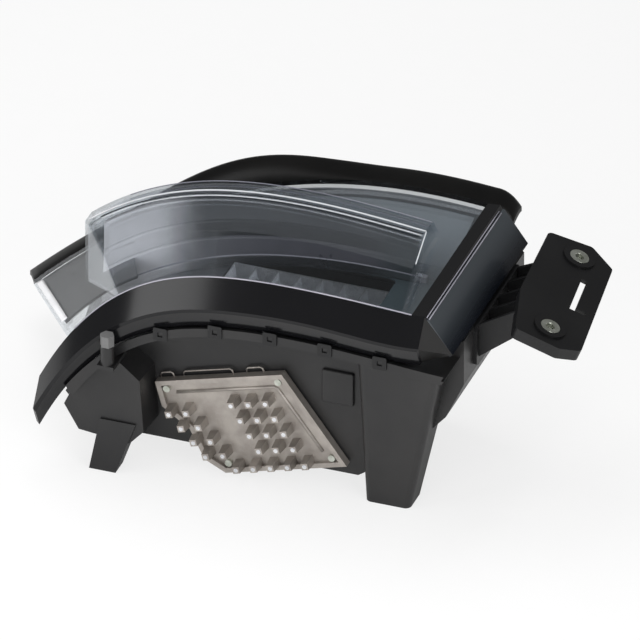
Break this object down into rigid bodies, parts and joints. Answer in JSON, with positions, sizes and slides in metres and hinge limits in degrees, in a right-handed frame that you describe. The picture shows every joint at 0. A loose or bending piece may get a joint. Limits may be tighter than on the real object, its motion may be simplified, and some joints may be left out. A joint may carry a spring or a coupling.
{
  "type": "car headlight",
  "caption": "LED car headlamp lying on its back: clear ridged lens with black rim, moulded housing, pin-fin driver cover and inboard mounting bracket.",
  "frame": {"origin": "middle of the lamp's bounding box, on the surface that it lies on", "axes": "+X from the outboard tip to the inboard bracket, +Y from the underside to the bonnet side, +Z out of the lens"},
  "size_m": [0.6266, 0.2694, 0.2732],
  "materials": {
    "charcoal_plastic": "fine moulded satin",
    "clear_lens": "clear hard-coated",
    "gloss_black": "high gloss",
    "satin_black": "satin",
    "black_plastic": "fine grain",
    "seal_rubber": "matte",
    "cast_aluminium": "as cast",
    "board_green": "solder resist",
    "zinc_steel": "zinc plated",
    "grey_plastic": "moulded",
    "guide_pale": "polished",
    "bezel_grey": "semi gloss",
    "bright_reflector": "metallised",
    "led_yellow": "phosphor"
  },
  "bodies": {
    "lamp": {"housing": "charcoal_plastic", "outer_lens": "clear_lens", "lens_border": "gloss_black", "hood_finisher": "satin_black", "lens_seal": "seal_rubber", "driver_cover": "cast_aluminium", "driver_gasket": "seal_rubber", "driver_board": "board_green", "driver_screws": "zinc_steel", "access_cover": "charcoal_plastic", "aim_screw": "grey_plastic", "lens_clips": "zinc_steel", "light_guide": "guide_pale", "mounting_bracket": "black_plastic", "lower_bushing": "zinc_steel", "upper_bushing": "zinc_steel", "bracket_screws": "zinc_steel", "inner_bezel": "bezel_grey", "pivot_arms": "black_plastic", "levelling_motor": "black_plastic", "connector": "black_plastic", "vent_cap": "seal_rubber", "tip_panel": "bezel_grey"},
    "beam": {"beam_reflector": "bright_reflector", "beam_board": "board_green", "led_chips": "led_yellow", "beam_heat_sink": "cast_aluminium", "beam_frame": "black_plastic"},
    "rod": {"motor_rod": "grey_plastic"}
  },
  "joints": [
    {"name": "beam_level", "type": "hinge", "parent": "lamp", "child": "beam", "pos_m": [0.02588, 0.04775, 0.158], "axis": [1, 0, 0], "range_deg": [-3, 3]},
    {"name": "rod_travel", "type": "slide", "parent": "lamp", "child": "rod", "axis": [0, 0, 1], "range_m": [-0.0025, 0.0025]}
  ],
  "couplings": [
    {"joint": "rod_travel", "follows": "beam_level", "m_per_rad": -0.038}
  ]
}
